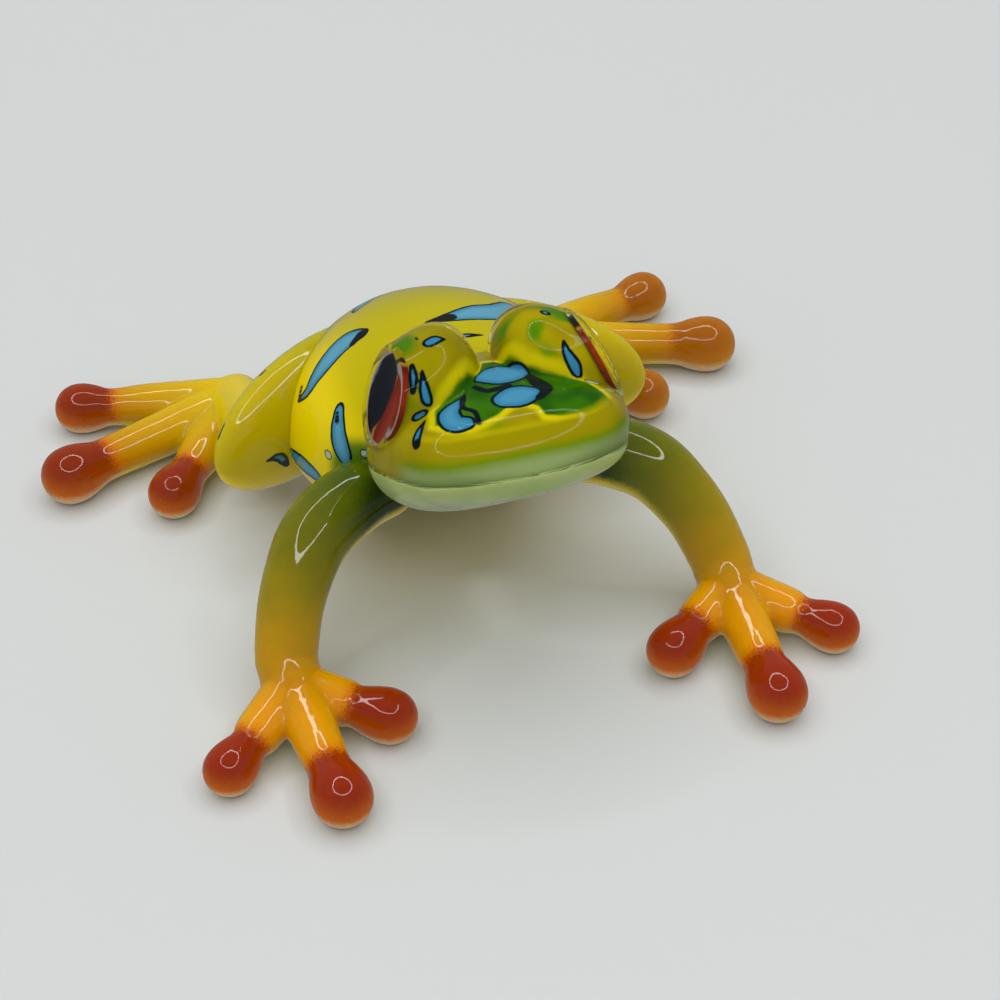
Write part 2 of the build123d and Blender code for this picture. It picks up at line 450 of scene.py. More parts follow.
def reach_to(points: Points, path: Points) -> tuple[Points, Points]:
    """Finds how far points are from a path, and where along it.

    Args:
        points: The points.
        path: The path's corners, each with a radius in its last column.

    Returns:
        The distance from the path's skin, and the place along it from 0 to 1.
    """
    best = np.full(len(points), np.inf)
    where = np.zeros(len(points))
    corners, radii = path[:, :3], path[:, 3]
    steps = np.linalg.norm(np.diff(corners, axis=0), axis=1)
    starts = np.concatenate([[0.0], np.cumsum(steps)])
    for i, step in enumerate(steps):
        span = corners[i + 1] - corners[i]
        t = np.clip((points - corners[i]) @ span / max(span @ span, TINY), 0.0, 1.0)
        gap = np.linalg.norm(points - corners[i] - np.outer(t, span), axis=1)
        gap -= radii[i] + (radii[i + 1] - radii[i]) * t
        nearer = gap < best
        best = np.where(nearer, gap, best)
        where = np.where(nearer, (starts[i] + t * step) / starts[-1], where)
    return best, where


@dataclass(frozen=True)
class Marks:
    """Drawn markings: each is a path of places with a half width at each place."""

    blue: tuple = ()
    ink: tuple = ()
    pale: tuple = ()
    steps: int = 6

    def draw(self, mesh: Mesh) -> None:
        """Notes each point's distance from the markings, in millimetres.

        Args:
            mesh: The painted mesh.
        """
        points = points_of(mesh)
        for name in ("blue", "ink", "pale"):
            gap = np.full(len(points), UNMARKED)
            for path in getattr(self, name):
                rows = np.array(path, float)
                for row in rows:
                    row[:3] = points[np.argmin(((points - row[:3]) ** 2).sum(1))]
                gap = np.minimum(gap, reach_to(points, between(rows, self.steps))[0])
            note(mesh, name, gap)


# Finishes


class Graph:
    """Builds the nodes of a material or of the world."""

    def __init__(self, holder: bpy.types.ID) -> None:
        """Starts without nodes.

        Args:
            holder: The new material or world.
        """
        self.holder = holder
        holder.use_nodes = True
        self.tree = holder.node_tree
        self.tree.nodes.clear()

    def feed(self, socket: Socket, value: object) -> None:
        """Links an input to another socket, or sets a plain value on it.

        Args:
            socket: The input.
            value: A socket, a colour or a number.
        """
        if isinstance(value, Socket):
            self.tree.links.new(value, socket)
        else:
            socket.default_value = (*value, 1.0) if socket.type == "RGBA" else value

    def node(self, kind: str, out: object, inputs: dict, **settings: object) -> Socket:
        """Adds a node.

        Args:
            kind: The node's type, without the word that all of them start with.
            out: Name or number of the output that is wanted.
            inputs: What goes into each input, by name or number.
            settings: Properties of the node itself.

        Returns:
            The output's socket.
        """
        made = self.tree.nodes.new("ShaderNode" + kind)
        for name, value in settings.items():
            setattr(made, name, value)
        for name, value in inputs.items():
            self.feed(made.inputs[name], value)
        return made.outputs[out]

    def noted(self, name: str) -> Socket:
        """The number that the mesh holds under this name."""
        return self.node("Attribute", "Fac", {}, attribute_name=name)

    def spot(self) -> Socket:
        """The place on the object, in the frame's metres."""
        return self.node("TexCoord", "Object", {})

    def axis(self, name: str) -> Socket:
        """One of the place's three numbers."""
        return self.node("SeparateXYZ", name, {0: self.spot()})

    def lean(self) -> Socket:
        """How far the surface faces up, from -1 to 1."""
        return self.node("SeparateXYZ", "Z", {0: self.node("NewGeometry", "Normal", {})})

    def ray(self, name: str) -> Socket:
        """Whether the ray is of this kind."""
        return self.node("LightPath", name, {})

    def noise(self, scale: float, detail: float = 2.0) -> Socket:
        """Soft noise from 0 to 1, with this many patches to a metre."""
        inputs = {"Vector": self.spot(), "Scale": scale, "Detail": detail}
        return self.node("TexNoise", "Fac", inputs)

    def patches(self, scale: float, low: float, high: float, detail: float = 2.0) -> Socket:
        """Patches where noise rises from low to high."""
        return self.step(self.noise(scale, detail), low, high)

    def wobble(self, scale: float, detail: float, size: float) -> Socket:
        """Noise to both sides of 0, over a range of this size."""
        return self.times(self.sum(self.noise(scale, detail), 0.5, "SUBTRACT"), size)

    def sum(self, first: object, second: object, mode: str = "ADD") -> Socket:
        """Works out one sum of two numbers or sockets."""
        return self.node("Math", 0, {0: first, 1: second}, operation=mode)

    def times(self, first: object, second: object) -> Socket:
        """Multiplies two numbers or sockets."""
        return self.sum(first, second, "MULTIPLY")

    def step(self, value: object, low: float, high: float) -> Socket:
        """Goes softly from 0 at low to 1 at high, and holds outside.

        Args:
            value: The number that drives it.
            low: Where it starts.
            high: Where it ends, which may be under low.

        Returns:
            The result's socket.
        """
        swap = high < low
        ends = {"From Min": min(low, high), "From Max": max(low, high)}
        ends |= {"To Min": float(swap), "To Max": float(not swap)}
        return self.node("MapRange", 0, {"Value": value, **ends}, interpolation_type="SMOOTHSTEP")

    def blend(self, share: object, under: object, over: object) -> Socket:
        """Lays one colour over another by this share."""
        return self.node("Mix", 2, {"Factor": share, 6: under, 7: over}, data_type="RGBA")

    def mix(self, share: Socket, under: Socket, over: Socket) -> Socket:
        """Lays one shader over another by this share."""
        return self.node("MixShader", 0, {0: share, 1: under, 2: over})

    def ramp(self, value: Socket, stops: tuple) -> Socket:
        """Runs through colours as a number goes from 0 to 1.

        Args:
            value: The number.
            stops: Places and colours, from low to high.

        Returns:
            The colour's socket.
        """
        out = self.node("ValToRGB", 0, {0: value})
        bar = out.node.color_ramp.elements
        bar.remove(bar[1])
        bar[0].position = stops[0][0]
        bar[0].color = (*stops[0][1], 1.0)
        for where, colour in stops[1:]:
            bar.new(where).color = (*colour, 1.0)
        return out

    def bump(self, height: Socket, depth: float) -> Socket:
        """Small waves in the surface, this many metres high."""
        return self.node("Bump", 0, {"Height": height, "Strength": 1.0, "Distance": depth})

    def shader(self, **inputs: object) -> Socket:
        """The main shader, fed by its inputs' names with underscores for spaces."""
        named = {name.replace("_", " "): value for name, value in inputs.items()}
        return self.node("BsdfPrincipled", 0, named)

    def finish(self, surface: Socket, kind: str = "Material") -> bpy.types.ID:
        """Links the last shader to the output.

        Args:
            surface: The shader.
            kind: What the output is for.

        Returns:
            The material or world.
        """
        output = self.tree.nodes.new("ShaderNodeOutput" + kind)
        self.tree.links.new(surface, output.inputs["Surface"])
        return self.holder


def nodes_of(name: str) -> Graph:
    """The nodes of a new material of this name."""
    return Graph(bpy.data.materials.new(name))


@dataclass(frozen=True)
class ClearResin:
    """Clear cast resin with a wet gloss, that lets the lamps through."""

    name: str
    tint: Colour
    ior: float
    roughness: float = 0.02
    ripple_scale: float = 90.0
    ripple_depth: float = 0.00003

    def material(self) -> Material:
        """Makes the finish.

        Returns:
            The material.
        """
        g = nodes_of(self.name)
        glass = g.shader(
            Base_Color=self.tint,
            Roughness=self.roughness,
            IOR=self.ior,
            Transmission_Weight=1.0,
            Normal=g.bump(g.noise(self.ripple_scale, 1.0), self.ripple_depth),
        )
        clear = g.node("BsdfTransparent", 0, {"Color": self.tint})
        passing = g.sum(g.ray("Is Shadow Ray"), g.ray("Is Diffuse Ray"), "MAXIMUM")
        return g.finish(g.mix(passing, glass, clear))


@dataclass(frozen=True)
class BodyPaint:
    """Bright yellow resin with blue spots that have black edges.

    The pairs from ``pale_core`` to ``ring_end`` say where a colour starts and ends,
    in millimetres from the edge of a marking. ``ragged`` is the noise of that edge.
    """

    name: str
    yellow: Colour = (0.95, 0.73, 0.001)
    amber: Colour = (0.62, 0.51, 0.001)
    olive: Colour = (0.45, 0.41, 0.001)
    green: Colour = (0.13, 0.24, 0.004)
    blue: Colour = (0.050, 0.27, 0.46)
    pale_blue: Colour = (0.12, 0.37, 0.55)
    ink: Colour = (0.003, 0.008, 0.012)
    pale: Colour = (0.50, 0.60, 0.46)
    depth: Colour = (1.0, 0.6, 0.1)
    pale_core: tuple = (-1.1, -0.35)
    black_edge: tuple = (-0.36, -0.24)
    spot_end: tuple = (-0.05, 0.05)
    ink_end: tuple = (-0.12, 0.06)
    ring_inside: tuple = (-0.16, -0.06)
    ring_end: tuple = (-0.02, 0.06)
    ragged: tuple = (1100.0, 3.0, 0.16)
    socket_reach: tuple = (0.15, 0.9)
    cloud_scale: float = 160.0
    cloud_share: float = 0.10

    def marked(self, g: Graph, base: Socket) -> Material:
        """Lays the markings over a ground colour and finishes the material.

        Args:
            g: The material's nodes.
            base: The ground colour.

        Returns:
            The material.
        """
        wobble = g.wobble(*self.ragged)
        blue, inked, pale = (g.sum(g.noted(name), wobble) for name in ("blue", "ink", "pale"))
        fill = g.blend(g.step(blue, *self.pale_core), self.pale_blue, self.blue)
        spots = g.blend(g.step(blue, *self.black_edge), fill, self.ink)
        colour = g.blend(g.step(blue, *self.spot_end), spots, base)
        colour = g.blend(g.step(inked, *self.ink_end), self.ink, colour)
        rings = g.blend(g.step(pale, *self.ring_inside), self.pale, self.ink)
        return g.finish(g.shader(
            Base_Color=g.blend(g.step(pale, *self.ring_end), rings, colour),
            Roughness=0.35,
            Specular_IOR_Level=0.0,
            Subsurface_Weight=0.12,
            Subsurface_Radius=self.depth,
            Subsurface_Scale=0.001,
        ))

    def material(self) -> Material:
        """Makes the finish.

        Returns:
            The material.
        """
        g = nodes_of(self.name)
        # Painted shade: the ground runs from yellow on the lower sides to amber and olive on the top,
        # rear and belly, where the light is painted darker.
        painted_shade = g.sum(g.noted("painted_shade"), g.times(g.noise(self.cloud_scale), self.cloud_share))
        base = g.ramp(painted_shade, ((0.06, self.yellow), (0.50, self.amber), (0.95, self.olive)))
        near_socket = g.step(g.noted("socket"), *self.socket_reach)
        return self.marked(g, g.blend(near_socket, base, self.green))


@dataclass(frozen=True)
class HeadPaint(BodyPaint):
    """The painted inner head: green snout, yellow lines, blue spots, olive sides."""

    blue: Colour = (0.035, 0.22, 0.42)
    pale_blue: Colour = (0.065, 0.29, 0.50)
    depth: Colour = (1.0, 0.7, 0.1)
    leaf: Colour = (0.035, 0.155, 0.001)
    light_leaf: Colour = (0.075, 0.23, 0.001)
    dark_leaf: Colour = (0.010, 0.075, 0.001)
    side: Colour = (0.30, 0.245, 0.001)
    light_side: Colour = (0.42, 0.34, 0.001)
    line: Colour = (0.66, 0.56, 0.001)
    tan: Colour = (0.33, 0.27, 0.001)
    moss: Colour = (0.18, 0.27, 0.002)
    mint: Colour = (0.30, 0.39, 0.16)
    side_patches: tuple = (200.0, 0.40, 0.70)
    green_patches: tuple = (260.0, 0.52, 0.68, 1.0)
    leaf_patches: tuple = (230.0, 0.40, 0.68)
    patch_height: tuple = (0.0295, 0.0320)
    light_reach: tuple = (-0.002, -0.008)
    brow_reach: tuple = (0.1, 0.8)
    line_start: tuple = (-0.2, 0.1)
    line_end: tuple = (0.25, 0.85)
    face_end: tuple = (4.2, 3.4)
    field_ragged: tuple = (700.0, 3.0, 0.5)
    crown_share: float = 0.4
    lip_share: float = 0.5
    band_share: float = 0.2
    bands: tuple = (0.16, 0.34, 0.48, 0.70, 0.80)

    def material(self) -> Material:
        """Makes the finish.

        Returns:
            The material.
        """
        g = nodes_of(self.name)
        wobble = g.wobble(*self.field_ragged)
        crown = g.sum(g.noted("crown"), g.times(wobble, self.crown_share))
        flank = g.blend(g.patches(*self.side_patches), self.side, self.light_side)
        high = g.step(g.axis("Z"), *self.patch_height)
        flank = g.blend(g.times(g.patches(*self.green_patches), high), flank, self.light_leaf)
        flank = g.blend(g.step(g.noted("brow"), *self.brow_reach), flank, self.light_leaf)
        line = g.blend(g.step(crown, *self.line_end), self.line, flank)
        top = g.blend(g.patches(*self.leaf_patches), self.leaf, self.dark_leaf)
        top = g.blend(g.step(g.axis("X"), *self.light_reach), top, self.light_leaf)
        base = g.blend(g.step(crown, *self.line_start), top, line)
        lip = g.sum(g.noted("lip"), g.times(wobble, self.lip_share))
        colours = (self.mint, self.moss, self.tan, self.tan, self.line)
        face = g.ramp(g.times(lip, self.band_share), tuple(zip(self.bands, colours)))
        share = g.times(g.noted("front"), g.step(lip, *self.face_end))
        return self.marked(g, g.blend(share, base, face))


@dataclass(frozen=True)
class OpalResin:
    """Milky resin of the lower jaw."""

    name: str
    colour: Colour = (0.31, 0.40, 0.13)
    light: Colour = (0.42, 0.50, 0.22)
    clouds: tuple = (180.0, 0.35, 0.75)

    def material(self) -> Material:
        """Makes the finish.

        Returns:
            The material.
        """
        g = nodes_of(self.name)
        return g.finish(g.shader(
            Base_Color=g.blend(g.patches(*self.clouds), self.colour, self.light),
            Roughness=0.2,
            Specular_IOR_Level=0.0,
            Subsurface_Weight=0.6,
            Subsurface_Radius=(1.0, 1.0, 0.5),
            Subsurface_Scale=0.002,
            Coat_Weight=0.8,
            Coat_Roughness=0.03,
        ))


@dataclass(frozen=True)
class LimbResin:
    """Amber resin, airbrushed red at the toe pads and green at the shoulder.

    The stops run from 0 at the shoulder or hip, over 0.5 at the palm or ankle, to
    1 at the tips of the toes.
    """

    name: str
    stops: tuple
    pad: Colour = (0.29, 0.022, 0.001)
    sole: Colour = (0.72, 0.46, 0.22)
    glow: Colour = (0.80, 0.62, 0.02)
    teal: Colour = (0.05, 0.22, 0.26)
    ink: Colour = (0.003, 0.008, 0.01)
    orange: Colour = (0.66, 0.17, 0.001)
    shoulder: Colour = (0.010, 0.034, 0.001)
    streak_reach: tuple = (0.25, 1.0)
    orange_reach: tuple = (0.05, 0.65)
    red_reach: tuple = (0.30, 0.80)
    glow_reach: tuple = (0.75, -0.25)
    glow_share: float = 0.65
    sole_reach: tuple = (-0.05, -0.55)
    black_edge: tuple = (-0.45, -0.25)
    mark_end: tuple = (-0.06, 0.06)
    clouds: tuple = (300.0, 3.0, 0.10)
    speckles: tuple = (5200.0, 1.0, 0.60)
    under_share: float = 0.4

    def material(self) -> Material:
        """Makes the finish.

        Returns:
            The material.
        """
        g = nodes_of(self.name)
        base = g.ramp(g.sum(g.noted("along"), g.wobble(*self.clouds)), self.stops)
        speckle = g.wobble(*self.speckles)
        streak = g.sum(g.noted("streak"), speckle)
        base = g.blend(g.step(streak, *self.streak_reach), base, self.shoulder)
        spray = g.sum(g.noted("pad"), speckle)
        orange = g.blend(g.step(spray, *self.orange_reach), base, self.orange)
        reddened = g.step(spray, *self.red_reach)
        red = g.blend(reddened, orange, self.pad)
        under = g.sum(g.lean(), g.times(speckle, self.under_share))
        glowing = g.times(g.step(under, *self.glow_reach), reddened)
        red = g.blend(g.times(glowing, self.glow_share), red, self.orange)
        sole = g.blend(g.noted("pad"), self.glow, self.sole)
        colour = g.blend(g.step(under, *self.sole_reach), red, sole)
        inked = g.noted("ink")
        teal = g.blend(g.step(inked, *self.black_edge), self.teal, self.ink)
        return g.finish(g.shader(
            Base_Color=g.blend(g.step(inked, *self.mark_end), teal, colour),
            Roughness=0.25,
            Specular_IOR_Level=0.0,
            Subsurface_Weight=0.9,
            Subsurface_Radius=(1.0, 0.50, 0.05),
            Subsurface_Scale=0.0035,
            Coat_Weight=0.9,
            Coat_Roughness=0.02,
        ))


@dataclass(frozen=True)
class EyePaint:
    """The eye's disc: dark behind, a fine gold line, red in front, pale rim."""

    name: str
    rim: Colour = (0.30, 0.25, 0.25)
    rim_start: tuple = (0.93, 0.95)
    rim_end: tuple = (0.997, 0.99)
    ragged: tuple = (1500.0, 3.0, 0.10)
    stops: tuple = (
        (0.02, (0.30, 0.26, 0.36)),
        (0.09, (0.006, 0.008, 0.012)),
        (0.52, (0.010, 0.008, 0.010)),
        (0.56, (0.45, 0.21, 0.02)),
        (0.60, (0.10, 0.006, 0.002)),
        (0.72, (0.22, 0.014, 0.004)),
        (0.92, (0.26, 0.025, 0.005)),
        (1.0, (0.12, 0.010, 0.003)),
    )

    def material(self) -> Material:
        """Makes the finish.

        Returns:
            The material.
        """
        g = nodes_of(self.name)
        across = g.sum(g.times(g.noted("forward"), 0.5), 0.5)
        colour = g.ramp(g.sum(across, g.wobble(*self.ragged)), self.stops)
        girth = g.noted("girth")
        band = g.times(g.step(girth, *self.rim_start), g.step(girth, *self.rim_end))
        rimmed = g.blend(band, colour, self.rim)
        return g.finish(g.shader(Base_Color=rimmed, Roughness=0.35, Specular_IOR_Level=0.0))


@dataclass(frozen=True)
class PupilPaint:
    """Black with a faint blue depth."""

    name: str
    black: Colour = (0.002, 0.002, 0.003)
    deep_blue: Colour = (0.006, 0.010, 0.018)
    cloud_scale: float = 400.0

    def material(self) -> Material:
        """Makes the finish.

        Returns:
            The material.
        """
        g = nodes_of(self.name)
        colour = g.blend(g.noise(self.cloud_scale), self.black, self.deep_blue)
        return g.finish(g.shader(Base_Color=colour, Roughness=0.2, Specular_IOR_Level=0.0))


# Sub-assemblies


@dataclass
class Torso:
    """The painted body casting and its clear jacket."""

    length: float = 32.5
    width: float = 29.4
    height: float = 24.2
    rear_y: float = 17.8
    mid_height: float = 13.4
    rise: float = 6.2
    lean: float = 14.0
    taper: float = 0.2
    squareness: float = 2.2
    belly: float = 2.6
    belly_edge: float = 0.3
    rim: float = 7.6
    rim_step: tuple = (0.1, 1.6)
    wall: float = 0.9
    least: float = 0.05
    count: int = 200
    steps: int = 16
    stations: tuple = (
        (0.00, 0.30, 0.36, 1.00),
        (0.11, 0.70, 0.76, 0.80),
        (0.26, 0.92, 0.96, 0.47),
        (0.44, 1.00, 1.01, 0.24),
        (0.63, 0.98, 0.96, 0.06),
        (0.79, 0.79, 0.80, -0.08),
        (0.92, 0.52, 0.53, -0.18),
        (0.985, 0.25, 0.26, -0.23),
        (1.00, 0.06, 0.06, -0.24),
    )
    shoulder: tuple = (8.9, -10.4, 14.3)
    socket_edge: tuple = (4.0, 7.0)
    # Painted shade: where the body is darkened towards its top, its rear and its belly, and by how much.
    painted_top_shade: tuple = (18.5, 24.5, 0.65)
    painted_rear_shade: tuple = (0.0, 14.0, 0.6)
    painted_low_shade: tuple = (-8.0, -3.0, 0.3)

    def skin(self, inset: float) -> Skin:
        """The body's skin, drawn in from the outside by a wall.

        Args:
            inset: The wall, in millimetres.

        Returns:
            The closed skin, without its flat belly.
        """
        lean = math.radians(self.lean)
        up = np.array([0.0, -math.sin(lean), math.cos(lean)])
        rings = []
        for along, wide, tall, climb in between(self.stations, self.steps):
            y = self.rear_y - inset - (self.length - 2 * inset) * (1 - along)
            centre = np.array([0.0, y, self.mid_height + self.rise * climb])
            halves = (self.width / 2 * wide, self.height / 2 * tall)
            halves = [max(half - inset, self.least) for half in halves]
            rings.append(ring(centre, SIDEWAYS, up, *halves, self.count, self.squareness, self.taper))
        return Skin.over(rings)

    def core(self) -> Mesh:
        """The painted casting, full size below the jacket's rim.

        Returns:
            The mesh, with a flat belly and its markings noted.
        """
        outer, inner = self.skin(0.0), self.skin(self.wall)
        share = ease(outer.points[:, 2], *(self.rim + step for step in self.rim_step))[:, None]
        points = outer.points * (1 - share) + inner.points * share
        over = (points[:, 2] - self.belly) / self.belly_edge
        points[:, 2] = self.belly + self.belly_edge * np.logaddexp(0.0, over)
        mesh = mesh_of("painted_body", Skin(points, outer.faces))
        BODY_MARKS.draw(mesh)
        points = points_of(mesh)
        # Painted shade: darker towards the top, the rear and the belly, standing in for how the light
        # falls on the body.
        painted_shade = np.zeros(len(points))
        depths = (points[:, 2], points[:, 1], -points[:, 2])
        for depth, (start, end, weight) in zip(depths, (self.painted_top_shade, self.painted_rear_shade, self.painted_low_shade)):
            painted_shade += weight * ease(depth, start, end)
        note(mesh, "painted_shade", np.clip(painted_shade, 0.0, 1.0))
        gap = np.linalg.norm(folded(points) - self.shoulder, axis=1)
        note(mesh, "socket", 1.0 - ease(gap, *self.socket_edge))
        return mesh

    def jacket(self) -> Mesh:
        """The clear coat over the casting, closed at its rim."""
        return cut(mesh_of("clear_jacket", self.skin(0.0)), UPRIGHT * self.rim, -UPRIGHT)

    def build(self) -> None:
        """Builds and dresses both pieces."""
        paint = BodyPaint("spotted_yellow_resin").material()
        clear = ClearResin("clear_body_resin", tint=(0.99, 0.99, 0.95), ior=1.22).material()
        place("painted_body", self.core(), paint, "body_yellow", "torso_core")
        place("clear_jacket", self.jacket(), clear, "body_clear", "torso_jacket")


@dataclass
class Eye:
    """One eye: a painted disc, a pupil and a clear lens in a round socket."""

    side: Side
    out: float = 10.4
    y: float = -16.3
    height: float = 29.7
    turn: float = 7.0
    lift: float = 20.0
    radius: float = 4.4
    clearance: float = 0.1
    iris: float = 0.5
    edge: float = 0.55
    crown: float = 0.7
    socket_past: float = 1.5
    disc_step: float = 0.1
    disc_shares: tuple = (0.99, 0.9, 0.8, 0.6, 0.4, 0.2, 0.05)
    pupil_radii: tuple = (3.7, 3.8, 3.75)
    pupil_squeeze: float = 0.5
    pupil_back: float = 0.8
    pupil_depth: float = 0.25
    pupil_proud: float = 0.03
    lens_gap: float = 0.04
    lens_rim: tuple = ((-0.1, 0.0), (0.0, 0.02))
    lens_shares: tuple = (0.1, 0.2, 0.3, 0.42, 0.55, 0.68, 0.8, 0.9, 0.96, 0.99, 0.999)
    count: int = 96

    @property
    def reach(self) -> float:
        """Radius of what sits in the socket."""
        return self.radius - self.clearance

    def axes(self) -> tuple[Points, Points, Points, Points]:
        """The left eye's place and directions.

        Returns:
            Its middle, and its forward, upward and outward directions.
        """
        turn, lift = math.radians(self.turn), math.radians(self.lift)
        flat = np.array([math.cos(turn), math.sin(turn), 0.0])
        out = flat * math.cos(lift) + UPRIGHT * math.sin(lift)
        forward = np.array([math.sin(turn), -math.cos(turn), 0.0])
        return np.array([self.out, self.y, self.height]), forward, np.cross(out, forward), out

    def stack(self, rows: tuple, shift: float = 0.0, squeeze: float = 1.0) -> Skin:
        """Rings about the eye's axis.

        Args:
            rows: Depth along the axis and radius, from the inside out.
            shift: How far forward the rings' middle is.
            squeeze: Width over height.

        Returns:
            The closed skin on this eye's side.
        """
        middle, forward, up, out = self.axes()
        middle = middle + forward * shift
        rings = [
            ring(middle + out * depth, forward, up, radius * squeeze, radius, self.count)
            for depth, radius in rows
        ]
        return Skin.over(rings).mirrored(self.side)

    def socket(self) -> Skin:
        """The hole for the eye, past both its ends."""
        ends = (-self.edge - self.iris, self.crown + self.socket_past)
        return self.stack(tuple((depth, self.radius) for depth in ends))

    def disc(self) -> Mesh:
        """The painted disc.

        Returns:
            The mesh, which notes where each point lies on the eye.
        """
        low, high = -self.edge - self.iris, -self.edge
        rows = [(low, self.reach), (low + self.disc_step, self.reach), (high, self.reach)]
        rows += [(high, self.reach * share) for share in self.disc_shares]
        mesh = mesh_of(f"eye_disc_{self.side.word}", self.stack(tuple(rows)))
        middle, forward, up, _ = self.axes()
        points = points_of(mesh) * [self.side.value, 1, 1] - middle
        ahead, above = points @ forward, points @ up
        note(mesh, "forward", ahead / self.reach)
        note(mesh, "girth", np.hypot(ahead, above) / self.reach)
        return mesh

    def pupil(self) -> Mesh:
        """The dark pupil, let into the disc's face.

        Returns:
            The mesh.
        """
        depths = (-self.edge - self.pupil_depth, -self.edge, -self.edge + self.pupil_proud)
        rows = tuple(zip(depths, self.pupil_radii))
        skin = self.stack(rows, -self.pupil_back, self.pupil_squeeze)
        return mesh_of(f"eye_pupil_{self.side.word}", skin)

    def lens(self) -> Mesh:
        """The clear lens with its crowned face.

        Returns:
            The mesh.
        """
        rows = [(-self.edge + self.lens_gap, self.reach)]
        rows += [(depth, self.reach - inset) for depth, inset in self.lens_rim]
        for share in self.lens_shares:
            rows.append((self.crown * share, self.reach * math.sqrt(1 - share**2)))
        return mesh_of(f"clear_lens_{self.side.word}", self.stack(tuple(rows)))

    def build(self, paint: Material, dark: Material, clear: Material) -> None:
        """Builds and dresses the eye's pieces.

        Args:
            paint: Finish of the disc.
            dark: Finish of the pupil.
            clear: Finish of the lens.
        """
        word = self.side.word
        place(f"eye_disc_{word}", self.disc(), paint, "iris_red", f"iris_{word}")
        place(f"eye_pupil_{word}", self.pupil(), dark, "pupil_black", f"pupil_{word}")
        place(f"clear_lens_{word}", self.lens(), clear, "lens_clear", f"eye_lens_{word}")


